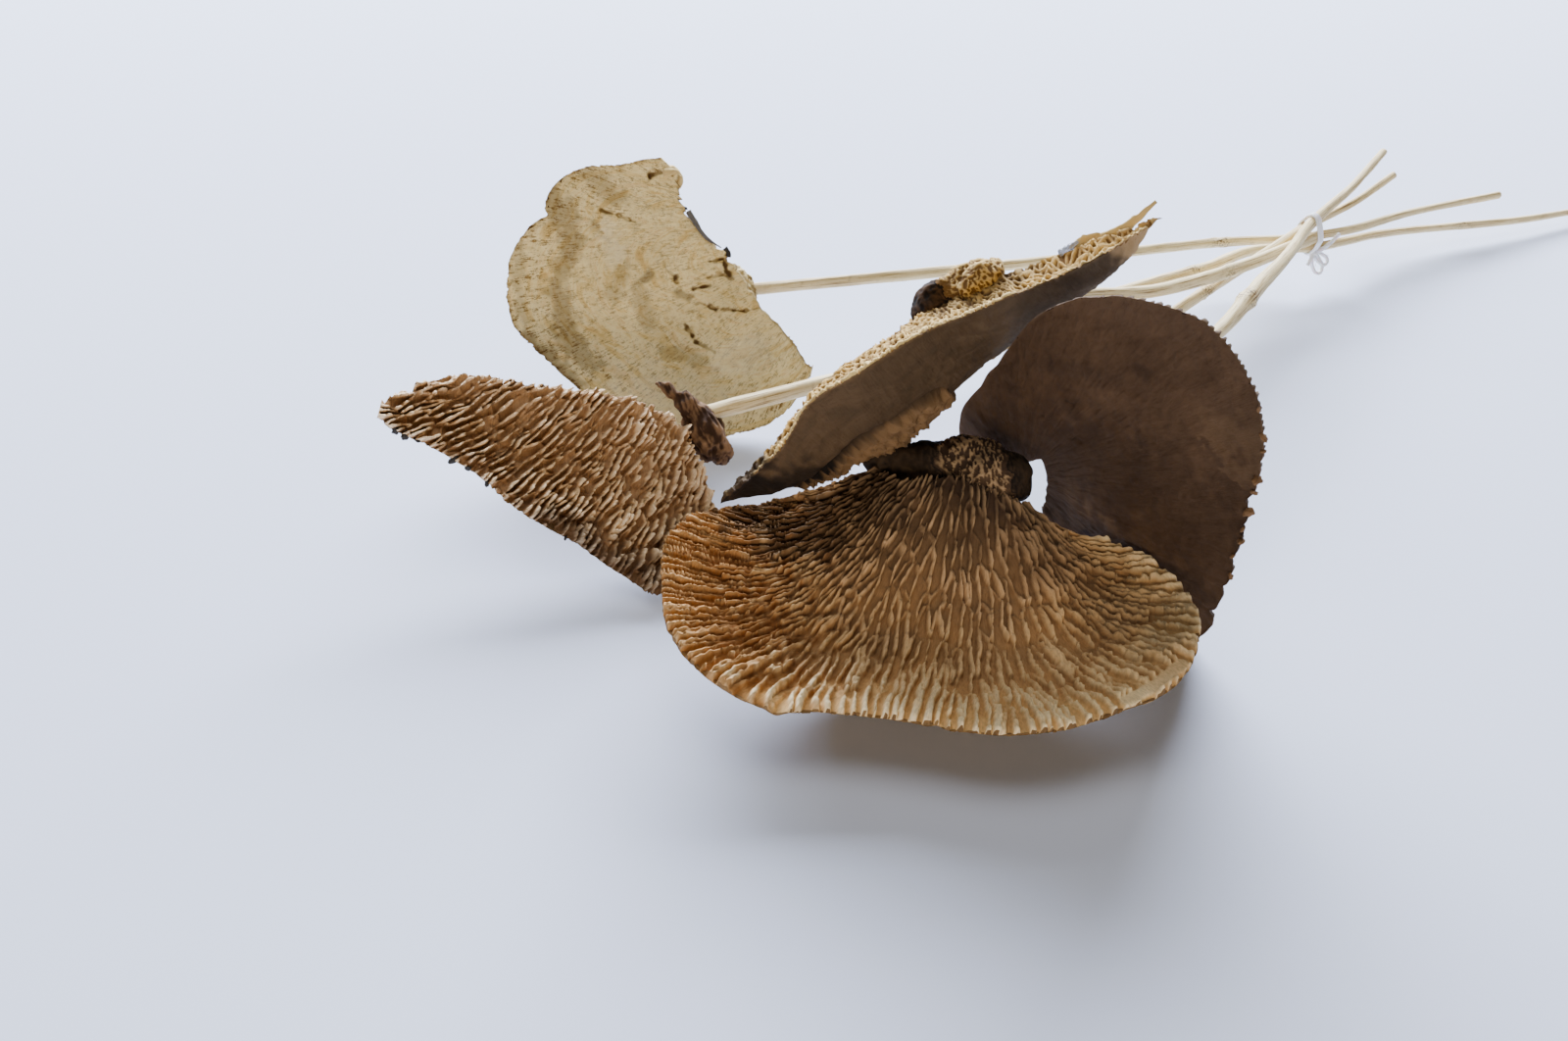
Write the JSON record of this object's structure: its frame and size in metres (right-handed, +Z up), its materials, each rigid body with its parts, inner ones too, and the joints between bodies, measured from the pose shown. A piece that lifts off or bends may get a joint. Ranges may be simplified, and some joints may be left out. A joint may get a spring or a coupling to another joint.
{
  "type": "dried mushroom bunch",
  "caption": "Tied bunch of dried fan-shaped bracket mushrooms on peeled twigs, gilled below and smooth above, lying on the rims of the caps.",
  "frame": {"origin": "middle of the bunch's footprint, on the surface it lies on", "axes": "+X along the bunch, from the caps towards the cut ends of the twigs; +Y from the large gilled cap at the front to the back; +Z up"},
  "size_m": [0.4769, 0.3408, 0.1223],
  "materials": {
    "cap_front": "dry corky flesh, matte",
    "cap_left": "dry corky flesh, matte",
    "cap_back": "dry corky flesh, matte",
    "cap_middle": "dry corky flesh, matte",
    "cap_right": "dry corky flesh, matte",
    "twig_front": "peeled, matte",
    "twig_left": "peeled, matte",
    "twig_back": "peeled, matte",
    "twig_middle": "peeled, matte",
    "twig_right": "peeled, matte",
    "string_tie": "white cotton, matte"
  },
  "bodies": {
    "root": {"cap_front": "cap_front", "cap_left": "cap_left", "cap_back": "cap_back", "cap_middle": "cap_middle", "cap_right": "cap_right", "twig_front": "twig_front", "twig_left": "twig_left", "twig_back": "twig_back", "twig_middle": "twig_middle", "twig_right": "twig_right", "string_tie": "string_tie"}
  },
  "joints": []
}
